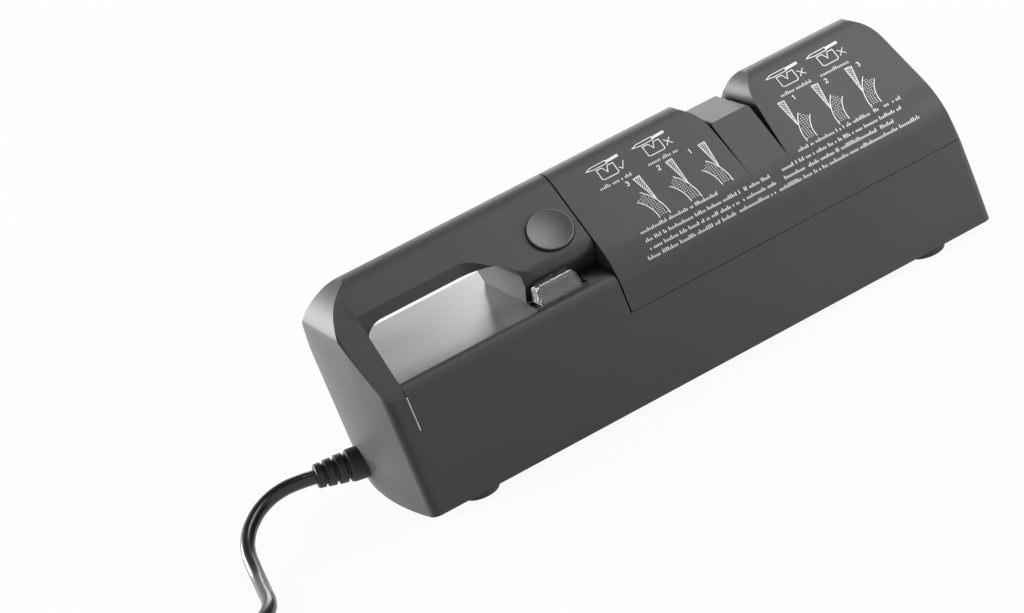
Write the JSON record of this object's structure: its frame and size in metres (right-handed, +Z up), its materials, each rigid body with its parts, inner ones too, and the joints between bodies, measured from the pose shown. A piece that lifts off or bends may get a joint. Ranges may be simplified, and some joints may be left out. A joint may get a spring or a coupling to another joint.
{
  "type": "electric knife sharpener",
  "caption": "Belt-type electric knife sharpener with a gabled lift-off head, blade slots beside a centre block, a carrying handle with push button, a capped rocker switch and a mains cord.",
  "frame": {"origin": "middle of the housing's box on the plane of the feet", "axes": "+X along the housing towards the sharpening head, cord end at -X; +Z up; -Y the side with the push button and the rocker switch"},
  "size_m": [0.6286, 0.1322, 0.11],
  "materials": {
    "housing_plastic": "moulded, satin dark grey ABS",
    "button_plastic": "moulded, satin",
    "black_rubber": "moulded, smooth",
    "zinc_steel": "zinc plated, pressed",
    "bright_steel": "ground",
    "cast_aluminium": "die cast",
    "lamination_steel": "stamped and stacked",
    "copper": "enamelled winding wire and hard copper",
    "carbon": "pressed carbon",
    "black_plastic": "moulded, fine texture",
    "red_plastic": "moulded, polished",
    "clear_plastic": "clear soft PVC, polished",
    "white_plastic": "moulded nylon",
    "fan_plastic": "moulded nylon",
    "abrasive_cloth": "aluminium oxide grit on cloth",
    "nylon_strap": "woven hook and loop strap"
  },
  "bodies": {
    "base": {"base_housing": "housing_plastic", "bottom_plate": "housing_plastic", "rubber_feet": "black_rubber", "foot_screws": "zinc_steel", "motor_cover": "housing_plastic", "handle": "housing_plastic", "button_spring": "bright_steel", "microswitch": "black_plastic", "rocker_frame": "black_plastic", "switch_cap": "clear_plastic", "mechanism_plate": "zinc_steel", "plate_screws": "zinc_steel", "bearing_housing": "cast_aluminium", "drive_bearings": "bright_steel", "left_axle": "bright_steel", "arm_pivot_pin": "bright_steel", "tension_spring": "bright_steel", "abrasive_belt": "abrasive_cloth", "drive_belt": "black_rubber", "motor_stator": "lamination_steel", "field_coils": "copper", "motor_bracket_near": "cast_aluminium", "motor_bracket_far": "cast_aluminium", "motor_bolts": "zinc_steel", "motor_bearings": "bright_steel", "brush_holders": "zinc_steel", "carbon_brushes": "carbon", "terminal_block": "white_plastic", "strain_relief": "black_rubber", "power_cord": "black_rubber", "cord_coil": "black_rubber", "cord_tail": "black_rubber", "cord_tie": "nylon_strap", "plug_body": "black_plastic", "plug_pins": "bright_steel"},
    "cover": {"head_cover": "housing_plastic"},
    "rotor": {"motor_shaft": "bright_steel", "armature": "lamination_steel", "commutator": "copper", "cooling_fan": "fan_plastic", "motor_pulley": "cast_aluminium"},
    "drive": {"drive_shaft": "bright_steel", "drive_roller": "black_rubber", "driven_pulley": "black_plastic"},
    "left_idler": {"left_wheel": "white_plastic", "left_tyre": "black_rubber", "left_bearing": "bright_steel"},
    "right_idler": {"right_wheel": "white_plastic", "right_tyre": "black_rubber", "right_bearing": "bright_steel"},
    "arm": {"tension_arm": "zinc_steel", "right_axle": "bright_steel"},
    "button": {"push_button": "button_plastic"},
    "rocker": {"rocker": "red_plastic"}
  },
  "joints": [
    {"name": "motor_spin", "type": "hinge", "parent": "base", "child": "rotor", "pos_m": [-0.085, 0, 0.0334], "axis": [0, 1, 0], "continuous": true},
    {"name": "drive_roller_spin", "type": "hinge", "parent": "base", "child": "drive", "pos_m": [0.0623, 0, 0.027], "axis": [0, 1, 0], "continuous": true},
    {"name": "left_wheel_spin", "type": "hinge", "parent": "base", "child": "left_idler", "pos_m": [0.0353, 0, 0.061], "axis": [0, 1, 0], "continuous": true},
    {"name": "right_wheel_spin", "type": "hinge", "parent": "arm", "child": "right_idler", "pos_m": [0.0893, 0, 0.061], "axis": [0, 1, 0], "continuous": true},
    {"name": "tension_arm_swing", "type": "hinge", "parent": "base", "child": "arm", "pos_m": [0.092, 0, 0.028], "axis": [0, 1, 0], "range_deg": [-6, 0], "stiffness_Nm_per_rad": 2, "springref_deg": 14.32, "deforming": ["tension_spring"]},
    {"name": "push_button_press", "type": "slide", "parent": "base", "child": "button", "axis": [0, 0.673, -0.7396], "range_m": [0, 0.0025], "stiffness_N_per_m": 800, "springref_m": -0.001, "deforming": ["button_spring"]},
    {"name": "rocker_tilt", "type": "hinge", "parent": "base", "child": "rocker", "pos_m": [-0.054, -0.0398, 0.0653], "axis": [0, 1, 0], "range_deg": [-14, 0]},
    {"name": "head_cover_lift", "type": "slide", "parent": "base", "child": "cover", "axis": [0, 0, 1], "range_m": [0, 0.07]}
  ],
  "couplings": [
    {"joint": "drive_roller_spin", "follows": "motor_spin", "ratio": 0.47059},
    {"joint": "left_wheel_spin", "follows": "motor_spin", "ratio": 0.34958},
    {"joint": "right_wheel_spin", "follows": "motor_spin", "ratio": 0.34958}
  ]
}
